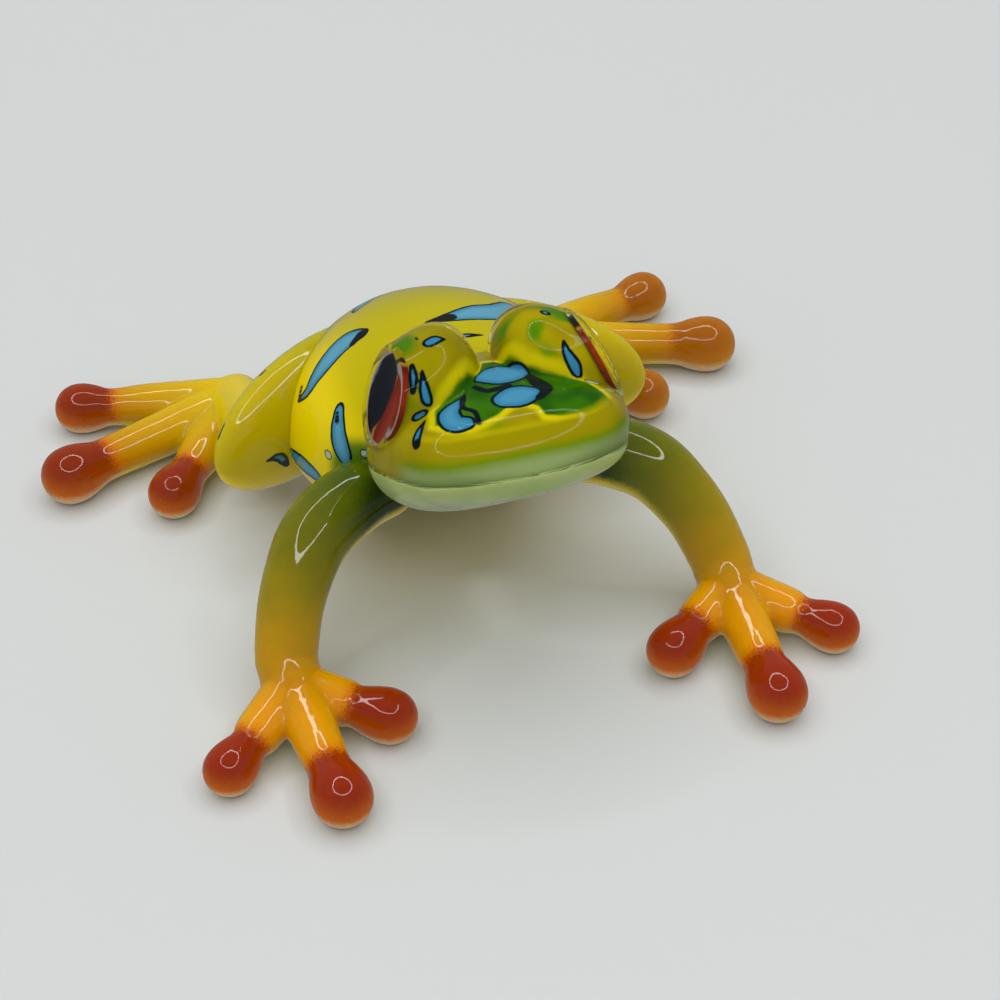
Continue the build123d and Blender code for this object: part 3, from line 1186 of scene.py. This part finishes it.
@dataclass
class Head:
    """The clear upper head with its eye turrets, the painted insert and the jaw."""

    eyes: list
    length: float = 21.8
    width: float = 24.0
    height: float = 15.8
    snout_y: float = -29.8
    mid_height: float = 24.2
    rise: float = 3.6
    wall: float = 1.0
    corner: tuple = (0.0, -21.3, 24.6)
    slope: float = 24.0
    turret_radius: float = 5.45
    turret_rim: float = 0.45
    turret_least: float = 0.3
    thinnest: float = 0.33
    crown: tuple = (0.9, -14.9, 29.4)
    brow: tuple = (8.2, -13.4, 33.2)
    brow_edge: tuple = (0.8, 3.2)
    front_edge: tuple = (21.0, 24.5)
    count: int = 72
    steps: int = 6
    cell: float = 0.22
    rounds: int = 6
    stations: tuple = (
        (0.00, 0.52, 0.40, -0.22, 2.2),
        (0.18, 0.86, 0.74, -0.29, 2.3),
        (0.41, 1.00, 0.94, -0.125, 2.4),
        (0.62, 0.965, 0.84, 0.32, 2.6),
        (0.78, 0.87, 0.62, 0.84, 2.9),
        (0.89, 0.75, 0.45, 0.98, 2.6),
        (0.97, 0.46, 0.26, 0.98, 2.2),
        (1.00, 0.20, 0.14, 0.98, 2.0),
    )
    turrets: tuple = (
        (-0.03, 0.06, 0.0),
        (0.00, 0.36, 0.0),
        (0.06, 0.64, 0.0),
        (0.18, 0.86, 0.1),
        (0.38, 1.00, 0.3),
        (0.62, 1.02, 0.6),
        (0.84, 0.96, 0.9),
    )
    snout_floor: float = 26.0
    snout_field: tuple = (
        (-3.3, -18.1), (-1.9, -16.4), (-0.3, -14.6), (1.2, -14.8), (2.2, -16.0),
        (3.0, -17.9), (4.2, -19.1), (5.6, -19.9), (7.6, -20.8), (8.5, -22.4),
        (9.1, -23.9), (6.4, -25.5), (3.6, -25.5), (2.3, -25.1), (2.0, -24.0),
        (1.0, -23.2), (-0.4, -23.3), (-1.8, -24.1), (-3.2, -24.5), (-4.6, -24.7),
        (-6.3, -24.1), (-7.2, -22.9), (-6.6, -20.9), (-5.8, -20.1), (-4.7, -19.4),
    )

    def mouth_up(self) -> Points:
        """The direction upwards, square to the mouth's sloping plane."""
        slope = math.radians(self.slope)
        return np.array([0.0, math.sin(slope), math.cos(slope)])

    def casting(self, inset: float) -> Skin:
        """The head without its turrets, drawn in by a wall.

        Args:
            inset: The wall, in millimetres.

        Returns:
            The closed skin.
        """
        rings = []
        for along, wide, tall, climb, square in between(self.stations, self.steps):
            y = self.snout_y + inset + (self.length - 2 * inset) * (1 - along)
            centre = np.array([0.0, y, self.mid_height + self.rise * climb])
            half_width = self.width / 2 * wide - inset
            half_height = self.height / 2 * tall
            half_height = max(half_height - inset, half_height * self.thinnest)
            rings.append(ring(centre, SIDEWAYS, UPRIGHT, half_width, half_height, self.count, square))
        return Skin.over(rings)

    def turret(self, eye: Eye, inset: float) -> Skin:
        """One eye turret, drawn in by a wall.

        Args:
            eye: The eye that it carries.
            inset: The wall, in millimetres.

        Returns:
            The closed skin.
        """
        middle, _, _, out = eye.axes()
        crown = np.array(self.crown) + SIDEWAYS * inset
        rings = []
        for along, girth, turn in between(self.turrets, self.steps):
            centre = crown + (middle - out * inset - crown) * along
            facing = unit(SIDEWAYS * (1 - turn) + out * turn)
            up = unit(UPRIGHT - facing * facing[2])
            radius = max(self.turret_radius * girth - inset, self.turret_least)
            rings.append(ring(centre, np.cross(up, facing), up, radius, radius, self.count))
        up = unit(UPRIGHT - out * out[2])
        rim = eye.radius + self.turret_rim - inset
        rings.append(ring(middle - out * inset, np.cross(up, out), up, rim, rim, self.count))
        return Skin.over(rings).mirrored(eye.side)

    def upper(self, name: str, inset: float) -> Mesh:
        """The head over the mouth, melted into one, with its sockets bored.

        Args:
            name: The mesh's name.
            inset: The wall, in millimetres.

        Returns:
            The mesh.
        """
        skins = [self.casting(inset)] + [self.turret(eye, inset) for eye in self.eyes]
        mesh = moulded(name, skins, Side.LEFT, self.cell, self.rounds)
        for eye in self.eyes:
            mesh = bored(mesh, eye.socket())
        return cut(mesh, self.corner, -self.mouth_up())

    def insert(self) -> Mesh:
        """The painted piece inside the clear head.

        Returns:
            The mesh, with its markings and fields of colour noted.
        """
        mesh = self.upper("painted_head", self.wall)
        HEAD_MARKS.draw(mesh)
        points = points_of(mesh)
        note(mesh, "crown", self.field_gap(points))
        note(mesh, "lip", (points - self.corner) @ self.mouth_up())
        note(mesh, "front", ease(-points[:, 1], *self.front_edge))
        gap = np.linalg.norm(folded(points) - self.brow, axis=1)
        note(mesh, "brow", 1.0 - ease(gap, *self.brow_edge))
        return mesh

    def field_gap(self, points: Points) -> Points:
        """How far points are outside the green field on the snout, seen from above.

        Args:
            points: The head's points.

        Returns:
            The distances, which are under zero inside the field.
        """
        corners, flat = np.array(self.snout_field), points[:, :2]
        inside = np.zeros(len(points), bool)
        gap = np.full(len(points), np.inf)
        for a, b in zip(corners, np.roll(corners, -1, axis=0)):
            span = b - a
            t = np.clip((flat - a) @ span / (span @ span), 0, 1)
            gap = np.minimum(gap, np.linalg.norm(flat - a - np.outer(t, span), axis=1))
            crosses = (a[1] > flat[:, 1]) != (b[1] > flat[:, 1])
            where = a[0] + (flat[:, 1] - a[1]) * span[0] / (span[1] or TINY)
            inside ^= crosses & (flat[:, 0] < where)
        gap, under = np.where(inside, -gap, gap), self.snout_floor - points[:, 2]
        return np.where(under < 0, gap, np.maximum(gap, under))

    def build(self) -> None:
        """Builds and dresses the head and both eyes."""
        paint = HeadPaint("spotted_head_paint").material()
        place("painted_head", self.insert(), paint, "head_paint", "head_insert")
        clear = ClearResin("clear_head_resin", tint=(0.99, 0.99, 0.94), ior=1.19).material()
        place("clear_head", self.upper("clear_head", 0.0), clear, "head_clear", "upper_head")
        opal = OpalResin("opal_jaw_resin").material()
        jaw = moulded("opal_jaw", [self.casting(0.0)], Side.LEFT, self.cell, self.rounds)
        place("opal_jaw", cut(jaw, self.corner, self.mouth_up()), opal, "jaw_opal", "lower_jaw")
        iris = EyePaint("red_eye_paint").material()
        dark = PupilPaint("dark_pupil_paint").material()
        lens = ClearResin("clear_lens_resin", tint=(0.99, 0.99, 0.99), ior=1.03).material()
        for eye in self.eyes:
            eye.build(iris, dark, lens)


@dataclass
class Toes:
    """A fan of toes with round pads, that grow out of the end of a leg.

    Each row holds a toe's bearing in degrees, and its reach and pad as shares.
    """

    root: tuple
    reach: float
    stem: float
    pad: float
    rows: tuple
    streak: float = 0.0
    count: int = 40
    steps: int = 4
    leg_count: int = 48
    rounds: int = 8
    pad_edge: tuple = (0.9, 2.3)
    streak_end: tuple = (0.05, 0.62)
    streak_edge: tuple = (-1.5, 2.0)
    stems: tuple = ((0.0, 1.10), (0.30, 1.02), (0.58, 0.95))
    pads: tuple = (
        (-1.30, 0.74), (-0.70, 0.90), (-0.20, 1.0), (0.30, 0.955),
        (0.68, 0.735), (0.92, 0.40), (1.0, 0.06),
    )

    def lines(self) -> list:
        """The toes' middle lines.

        Returns:
            Root, tip and pad radius of each toe.
        """
        root = np.array(self.root)
        out = []
        for bearing, reach, pad in self.rows:
            turn = math.radians(bearing)
            side = np.array([math.cos(turn), math.sin(turn), 0.0])
            tip = root * [1, 1, 0] + side * self.reach * reach + UPRIGHT * self.pad * pad
            out.append((root, tip, self.pad * pad))
        return out

    def skins(self) -> list:
        """The toes' skins.

        Returns:
            One closed skin for each toe.
        """
        out = []
        for root, tip, pad in self.lines():
            along = unit(tip - root)
            across = unit(np.cross(along, UPRIGHT))
            up = np.cross(across, along)
            step = along * np.linalg.norm(tip - root)
            rows = [(*(root + step * share), self.stem * girth) for share, girth in self.stems]
            rows += [(*(tip + along * pad * share), pad * girth) for share, girth in self.pads]
            curve = between(rows, self.steps)
            out.append(Skin.over([
                ring(row[:3], across, up, row[3], row[3], self.count) for row in curve
            ]))
        return out

    def cast(self, name: str, side: Side, leg: Points, knobs: tuple, cell: float) -> Mesh:
        """Melts a leg and its toes into one casting, and notes what paints it.

        Args:
            name: Name of the mesh.
            side: The side that the limb is on.
            leg: The leg's path with its radii, from the body to the toes.
            knobs: Middle and radius of each ball on the leg.
            cell: Side of the cells that the surface is rebuilt from.

        Returns:
            The limb's mesh.
        """
        skins = [tube(leg, self.leg_count)] + [ball(*knob) for knob in knobs] + self.skins()
        mesh = moulded(name, skins, side, cell, self.rounds)
        points = points_of(mesh) * [side.value, 1, 1]
        gap, where = reach_to(points, leg)
        along, near_pad = 0.5 * where, np.zeros(len(points))
        for root, tip, pad in self.lines():
            toe = np.array([[*root, self.stem], [*tip, self.stem]])
            toe_gap, toe_where = reach_to(points, toe)
            along = np.where(toe_gap < gap, 0.5 + 0.5 * toe_where, along)
            gap = np.minimum(gap, toe_gap)
            centre_gap = np.linalg.norm(points - tip, axis=1) / pad
            near_pad = np.maximum(near_pad, 1 - ease(centre_gap, *self.pad_edge))
        facing = unit(np.cross(leg[-1, :3] - leg[0, :3], UPRIGHT))
        lift = ease((points - leg[0, :3]) @ facing, *self.streak_edge)
        note(mesh, "along", along)
        note(mesh, "pad", near_pad)
        note(mesh, "ink", np.full(len(points), UNMARKED))
        note(mesh, "streak", self.streak * (1.0 - ease(where, *self.streak_end)) * lift)
        return mesh


@dataclass
class Foreleg:
    """A bent foreleg with its palm and front toes."""

    side: Side
    shoulder: tuple = (8.9, -10.4, 14.3)
    wrist: tuple = (21.9, -21.6, 5.6)
    bow: tuple = (2.4, 0.6, 3.1)
    radius: float = 3.55
    palm: tuple = (21.9, -24.0, 3.9)
    palm_radius: float = 3.1
    end_share: float = 0.92
    shares: tuple = (
        (0.00, 0.00, 0.92),
        (0.12, 0.44, 0.98),
        (0.28, 0.78, 1.00),
        (0.45, 0.96, 0.98),
        (0.62, 0.84, 0.93),
        (0.80, 0.55, 0.88),
        (1.00, 0.00, 0.84),
    )
    steps: int = 6
    cell: float = 0.24

    def path(self) -> Points:
        """The leg's line.

        Returns:
            Its points, each with a radius in its last column.
        """
        shoulder, wrist, bow = map(np.array, (self.shoulder, self.wrist, self.bow))
        rows = []
        for along, out, girth in between(self.shares, self.steps):
            rows.append((*(shoulder + (wrist - shoulder) * along + bow * out), self.radius * girth))
        return np.array([*rows, (*self.palm, self.palm_radius * self.end_share)])

    def build(self, material: Material) -> None:
        """Builds and dresses the leg.

        Args:
            material: Finish of the leg.
        """
        toes = Toes(
            root=self.palm,
            reach=14.1,
            stem=2.35,
            pad=2.85,
            rows=((-41.6, 0.767, 0.88), (-92.7, 1.00, 1.00), (-145.5, 0.666, 0.94)),
            streak=1.0,
        )
        name = f"foreleg_{self.side.word}_casting"
        knobs = ((self.shoulder, self.radius * self.end_share), (self.palm, self.palm_radius))
        mesh = toes.cast(name, self.side, self.path(), knobs, self.cell)
        place(name, mesh, material, "leg_amber", f"foreleg_{self.side.word}")


@dataclass
class HindLeg:
    """The folded thigh and the shank with its foot."""

    side: Side
    reach: float = 13.0
    depth: float = 7.3
    thickness: float = 3.8
    centre: tuple = (11.2, 7.5, 11.4)
    sweep: float = -30.5
    droop: float = -1.0
    knee: tuple = (16.0, 4.7, 9.1)
    ankle: tuple = (15.9, 20.2, 3.5)
    knee_radius: float = 3.0
    shank_radius: float = 3.3
    ankle_radius: float = 2.9
    shares: tuple = (
        (-0.995, 0.05), (-0.95, 0.31), (-0.80, 0.60), (-0.55, 0.835), (-0.25, 0.97), (0.05, 1.00),
        (0.35, 0.94), (0.60, 0.80), (0.80, 0.60), (0.93, 0.37), (0.99, 0.14), (1.0, 0.03),
    )
    paint_run: tuple = (6.0, 22.0)
    count: int = 64
    steps: int = 5
    cell: float = 0.26

    def lobe(self) -> Skin:
        """The thigh's rounded lobe.

        Returns:
            The closed skin of the left one.
        """
        sweep, droop = math.radians(self.sweep), math.radians(self.droop)
        outward = np.array([math.cos(sweep), math.sin(sweep), 0.0])
        along = outward * math.cos(droop) + UPRIGHT * math.sin(droop)
        across = np.cross(UPRIGHT, outward)
        up = np.cross(along, across)
        rings = []
        for share, girth in between(self.shares, self.steps):
            middle = np.array(self.centre) + along * self.reach * share
            halves = (self.thickness * girth, self.depth * girth)
            rings.append(ring(middle, across, up, *halves, self.count))
        return Skin.over(rings)

    def thigh(self, material: Material) -> None:
        """Builds and dresses the thigh.

        Args:
            material: Finish of the thigh.
        """
        name = f"thigh_{self.side.word}_casting"
        mesh = mesh_of(name, self.lobe().mirrored(self.side))
        outward = points_of(mesh)[:, 0] * self.side.value
        note(mesh, "along", 0.5 * ease(outward, *self.paint_run))
        for plain in ("pad", "streak"):
            note(mesh, plain, np.zeros(len(outward)))
        THIGH_MARKS.draw(mesh)
        place(name, mesh, material, "thigh_amber", f"thigh_{self.side.word}")

    def foot(self, material: Material) -> None:
        """Builds and dresses the shank with its foot.

        Args:
            material: Finish of the shank and foot.
        """
        knee, ankle = np.array(self.knee), np.array(self.ankle)
        path = np.array([
            [*knee, self.knee_radius],
            [*((knee + ankle) / 2), self.shank_radius],
            [*ankle, self.ankle_radius],
        ])
        toes = Toes(
            root=self.ankle,
            reach=20.0,
            stem=2.4,
            pad=3.0,
            rows=((18.0, 0.83, 0.88), (-17.0, 1.00, 1.00), (-50.0, 0.755, 0.88)),
        )
        name = f"hind_foot_{self.side.word}_casting"
        knobs = ((knee, self.knee_radius), (ankle, self.ankle_radius))
        mesh = toes.cast(name, self.side, path, knobs, self.cell)
        place(name, mesh, material, "foot_amber", f"hind_foot_{self.side.word}")


@dataclass
class Studio:
    """A pale floor, a ring lamp overhead, even light all round, and the camera."""

    camera: tuple = (-64.76, -212.36, 189.03)
    azimuth: float = -18.55
    elevation: float = 40.16
    lens: float = 102.6
    sensor: float = 36.0
    clip: tuple = (0.01, 10.0)
    floor_side: float = 4.0
    floor_grey: Colour = (0.645, 0.66, 0.65)
    floor_clouds: float = 8.0
    floor_lift: float = 1.03
    backdrop: Colour = (0.64, 0.655, 0.66)
    world_grey: Colour = (0.95, 0.98, 1.0)
    world_level: float = 0.36
    gloss_level: float = 0.25
    ring_height: float = 0.80
    ring_shift: float = 0.08
    ring_radius: float = 0.48
    ring_width: float = 0.06
    ring_level: float = 8.6
    ring_count: int = 128
    sun_level: float = 0.66
    sun_angle: float = 50.0
    fill_power: float = 0.6
    fill_place: tuple = (-0.35, -0.45, 0.50)
    fill_side: float = 0.35

    def back(self) -> Points:
        """The direction from the object to the camera."""
        a, e = math.radians(self.azimuth), math.radians(self.elevation)
        return np.array([math.sin(a) * math.cos(e), -math.cos(a) * math.cos(e), math.sin(e)])

    def floor(self) -> None:
        """The plain pale floor."""
        half = self.floor_side / 2
        corners = [(-half, -half, 0), (half, -half, 0), (half, half, 0), (-half, half, 0)]
        mesh = bpy.data.meshes.new("floor")
        mesh.from_pydata(corners, [], [(0, 1, 2, 3)])
        g = nodes_of("pale_floor")
        lighter = tuple(c * self.floor_lift for c in self.floor_grey)
        colour = g.blend(g.noise(self.floor_clouds), self.floor_grey, lighter)
        mesh.materials.append(g.finish(g.shader(Base_Color=colour, Roughness=0.8)))
        floor = put("floor", mesh)
        floor.visible_glossy = False

    def ring_lamp(self) -> None:
        """A glowing ring overhead, which gives the small rings of gloss."""
        count = self.ring_count
        turn = np.linspace(0, 2 * math.pi, count, endpoint=False)
        rim = np.column_stack([np.cos(turn), np.sin(turn), np.zeros(count)])
        inner, outer = rim * self.ring_radius, rim * (self.ring_radius + self.ring_width)
        faces = [(k, count + k, count + (k + 1) % count, (k + 1) % count) for k in range(count)]
        mesh = bpy.data.meshes.new("ring_lamp")
        mesh.from_pydata(np.concatenate([inner, outer]).tolist(), [], faces)
        g = nodes_of("ring_glow")
        mesh.materials.append(g.finish(g.node("Emission", 0, {"Strength": self.ring_level})))
        lamp = put("ring_lamp", mesh)
        ahead = unit(self.back() * [1, 1, 0]) * self.ring_shift
        lamp.location = (ahead[0], ahead[1], self.ring_height)
        lamp.visible_camera = False
        lamp.visible_shadow = False

    def fill(self) -> None:
        """A weak soft lamp from the front."""
        light = bpy.data.lights.new("fill", "AREA")
        light.energy = self.fill_power
        light.size = self.fill_side
        lamp = put("fill", light)
        lamp.location = self.fill_place
        lamp.rotation_euler = (-Vector(self.fill_place)).to_track_quat("-Z", "Y").to_euler()
        lamp.visible_glossy = False

    def sun(self) -> None:
        """A soft lamp far overhead, so that the floor keeps its level far out."""
        light = bpy.data.lights.new("overhead", "SUN")
        light.energy = self.sun_level
        light.angle = math.radians(self.sun_angle)
        put("overhead", light).visible_glossy = False

    def world(self) -> None:
        """Even light from all round, dimmer in the gloss, before a pale backdrop."""
        g = Graph(bpy.data.worlds.new("studio"))
        lights = (
            (self.world_grey, self.world_level),
            (self.world_grey, self.gloss_level),
            (self.backdrop, 1.0),
        )
        soft, dim, seen = (
            g.node("Background", 0, {"Color": grey, "Strength": level}) for grey, level in lights
        )
        lit = g.mix(g.ray("Is Glossy Ray"), soft, dim)
        lit = g.mix(g.ray("Is Camera Ray"), lit, seen)
        bpy.context.scene.world = g.finish(lit, "World")

    def shoot(self) -> None:
        """Sets the camera up at the photograph's angle."""
        view = bpy.data.cameras.new("camera")
        view.lens = self.lens
        view.sensor_width = self.sensor
        view.clip_start, view.clip_end = self.clip
        camera = put("camera", view)
        back = self.back()
        right = unit(np.cross(UPRIGHT, back))
        turn = Matrix(np.column_stack([right, np.cross(back, right), back]).tolist()).to_4x4()
        turn.translation = Vector(to_frame(self.camera))
        camera.matrix_world = turn
        bpy.context.scene.camera = camera
        bpy.context.scene.view_settings.view_transform = "Standard"

    def build(self) -> None:
        """Sets everything up."""
        self.floor()
        self.ring_lamp()
        self.fill()
        self.sun()
        self.world()
        self.shoot()


# Tables of colours and markings. A marking's row is a place and a half width.

FORELEG_STOPS = (
    (0.00, (0.035, 0.075, 0.001)),
    (0.10, (0.070, 0.110, 0.001)),
    (0.20, (0.15, 0.16, 0.001)),
    (0.32, (0.30, 0.23, 0.001)),
    (0.42, (0.50, 0.28, 0.001)),
    (0.52, (0.58, 0.26, 0.001)),
    (0.70, (0.74, 0.32, 0.001)),
)
THIGH_STOPS = (
    (0.00, (0.38, 0.34, 0.001)),
    (0.25, (0.49, 0.40, 0.001)),
    (0.45, (0.54, 0.43, 0.001)),
    (0.60, (0.46, 0.40, 0.003)),
)
HIND_STOPS = (
    (0.00, (0.60, 0.50, 0.001)),
    (0.45, (0.78, 0.55, 0.001)),
    (0.65, (0.66, 0.42, 0.001)),
    (0.80, (0.60, 0.33, 0.001)),
    (0.95, (0.52, 0.20, 0.001)),
)
BODY_MARKS = Marks(
    blue=(
        ((-1.3, -2.0, 25.5, 0.2), (0.9, -1.9, 25.5, 1.1), (4.0, -1.6, 25.0, 1.9),
         (6.4, -0.7, 23.8, 2.0), (8.2, 1.0, 22.3, 1.9)),
        ((-7.1, 1.6, 22.9, 0.9), (-8.4, 2.3, 21.9, 1.7), (-10.1, 1.9, 20.7, 1.6),
         (-11.5, 1.3, 19.4, 1.2), (-12.6, 1.0, 17.9, 0.7), (-13.3, 1.6, 16.5, 0.3)),
        ((-11.3, -5.6, 20.3, 0.8), (-11.7, -6.7, 19.0, 1.2), (-11.8, -7.4, 17.6, 1.3),
         (-11.6, -7.8, 16.6, 0.9)),
        ((-13.9, 1.2, 10.4, 0.9), (-13.6, -1.8, 11.4, 1.15), (-13.0, -3.6, 11.8, 1.1)),
        ((0.2, -5.7, 26.4, 0.15), (1.1, -6.2, 26.4, 0.42), (2.4, -6.4, 26.3, 0.15)),
        ((12.4, 1.0, 17.5, 0.3), (11.2, 2.2, 19.4, 1.2), (9.6, 4.4, 20.4, 1.4), (8.2, 6.2, 20.6, 0.7)),
        ((11.3, -5.9, 20.0, 0.3), (11.8, -6.9, 18.6, 1.0), (11.9, -7.4, 17.0, 1.0),
         (11.8, -7.4, 15.6, 0.5)),
        ((13.8, 0.6, 10.4, 0.7), (13.6, -1.6, 11.2, 0.85), (13.1, -3.6, 11.8, 0.7)),
        ((-5.6, 8.4, 20.4, 0.3), (-4.2, 10.4, 19.4, 1.2), (-2.4, 12.2, 17.8, 1.4),
         (-1.6, 14.0, 15.6, 0.6)),
        ((2.6, 9.0, 21.0, 0.2), (4.0, 11.0, 19.0, 1.1), (5.0, 12.6, 16.6, 0.8)),
    ),
    ink=(
        ((-1.3, -2.0, 25.5, 0.25), (0.5, -1.9, 25.5, 0.85)),
        ((-7.1, 1.5, 23.0, 0.7), (-7.9, 1.1, 22.6, 0.5)),
        ((-12.7, 2.6, 17.4, 0.3), (-13.2, 1.9, 16.6, 0.35)),
        ((-11.4, -5.7, 20.1, 0.25), (-11.5, -6.1, 19.7, 0.4)),
        ((8.2, 6.2, 20.6, 0.5), (8.9, 5.2, 20.6, 0.45)),
        ((-1.6, 14.0, 15.6, 0.45), (-1.9, 13.2, 16.6, 0.55)),
    ),
    pale=(
        ((-12.6, -5.9, 15.9, 0.55), (-12.6, -6.0, 15.8, 0.55)),
        ((-10.1, -9.8, 18.2, 0.52), (-10.1, -9.9, 18.2, 0.52)),
        ((12.6, -5.8, 14.2, 0.42), (12.6, -5.9, 14.2, 0.42)),
    ),
)
THIGH_MARKS = Marks(
    ink=(
        ((-16.0, 6.3, 17.9, 0.15), (-16.3, 6.0, 17.6, 0.22)),
        ((-21.1, 2.6, 14.8, 0.15), (-21.7, 2.3, 13.9, 0.24)),
        ((-17.5, 0.6, 11.0, 0.15), (-16.6, 0.85, 10.9, 0.48), (-15.8, 1.1, 10.4, 0.6),
         (-15.5, 1.5, 8.9, 0.3)),
        ((16.0, 6.3, 17.9, 0.15), (16.3, 6.0, 17.6, 0.22)),
        ((21.1, 2.6, 14.8, 0.15), (21.7, 2.3, 13.9, 0.24)),
        ((17.3, 0.7, 10.6, 0.15), (16.4, 1.0, 10.4, 0.5), (15.7, 1.2, 10.0, 0.45)),
    ),
)
HEAD_MARKS = Marks(
    blue=(
        ((-5.4, -15.4, 33.8, 0.66), (-4.7, -15.2, 33.8, 0.58), (-4.0, -15.3, 33.7, 0.15)),
        ((-7.6, -17.1, 33.1, 0.25), (-7.9, -18.3, 32.8, 0.45), (-8.3, -19.3, 32.0, 0.25)),
        ((-6.9, -18.1, 33.1, 0.15), (-7.1, -19.2, 32.3, 0.48), (-7.1, -19.9, 31.5, 0.58),
         (-7.0, -20.1, 31.0, 0.3)),
        ((-8.1, -20.4, 29.9, 0.6), (-7.5, -20.4, 30.2, 0.52)),
        ((-7.6, -21.6, 29.9, 0.15), (-8.6, -22.8, 29.6, 0.5), (-9.1, -23.5, 29.3, 0.45)),
        ((-0.9, -17.6, 30.1, 1.3), (0.5, -18.0, 30.3, 2.0), (1.8, -18.1, 30.4, 1.5)),
        ((-0.5, -22.3, 31.1, 1.25), (0.7, -22.1, 31.1, 1.75), (2.0, -22.0, 31.1, 1.1)),
        ((-4.1, -20.7, 30.7, 0.5), (-5.6, -22.0, 30.7, 1.1), (-5.7, -23.5, 30.8, 1.15),
         (-4.8, -24.1, 30.9, 0.9)),
        ((6.0, -14.2, 33.3, 0.45), (6.0, -14.3, 33.3, 0.45)),
        ((6.5, -18.1, 33.2, 0.2), (6.6, -18.9, 32.7, 0.48), (6.9, -19.7, 31.8, 0.66),
         (7.2, -20.2, 30.8, 0.48)),
    ),
    ink=(
        ((-6.1, -13.9, 33.1, 0.16), (-6.2, -14.3, 33.5, 0.16)),
        ((-8.9, -23.3, 29.5, 0.35), (-9.1, -23.6, 29.3, 0.3)),
        ((2.9, -19.2, 30.6, 0.5), (3.2, -20.8, 30.9, 0.8), (3.6, -21.9, 31.0, 0.6),
         (2.6, -23.0, 31.1, 0.4)),
        ((-2.4, -19.2, 30.6, 0.35), (-1.4, -20.3, 30.9, 0.4), (0.6, -20.2, 30.9, 0.4)),
        ((-3.7, -20.0, 30.6, 0.3), (-4.2, -21.9, 30.9, 0.3), (-3.6, -23.0, 31.0, 0.3),
         (-3.7, -24.4, 30.9, 0.3)),
    ),
    pale=(
        ((7.7, -20.5, 30.0, 0.18), (8.2, -20.7, 29.6, 0.34), (8.9, -20.6, 29.1, 0.15)),
    ),
)


def main() -> None:
    """Builds the ornament and the studio round it."""
    logging.basicConfig(level=logging.INFO, format="%(name)s %(message)s")
    Studio().build()
    Torso().build()
    Head([Eye(side) for side in Side]).build()
    foreleg = LimbResin("foreleg_resin", FORELEG_STOPS).material()
    thigh = LimbResin("thigh_resin", THIGH_STOPS).material()
    feet = {
        Side.LEFT: LimbResin(
            "hind_foot_left_resin", HIND_STOPS, pad=(0.38, 0.12, 0.001), orange=(0.62, 0.25, 0.001)
        ),
        Side.RIGHT: LimbResin("hind_foot_right_resin", HIND_STOPS, pad=(0.26, 0.026, 0.001)),
    }
    for side in Side:
        Foreleg(side).build(foreleg)
        hind_leg = HindLeg(side)
        hind_leg.thigh(thigh)
        hind_leg.foot(feet[side].material())


if __name__ == "__main__":
    main()
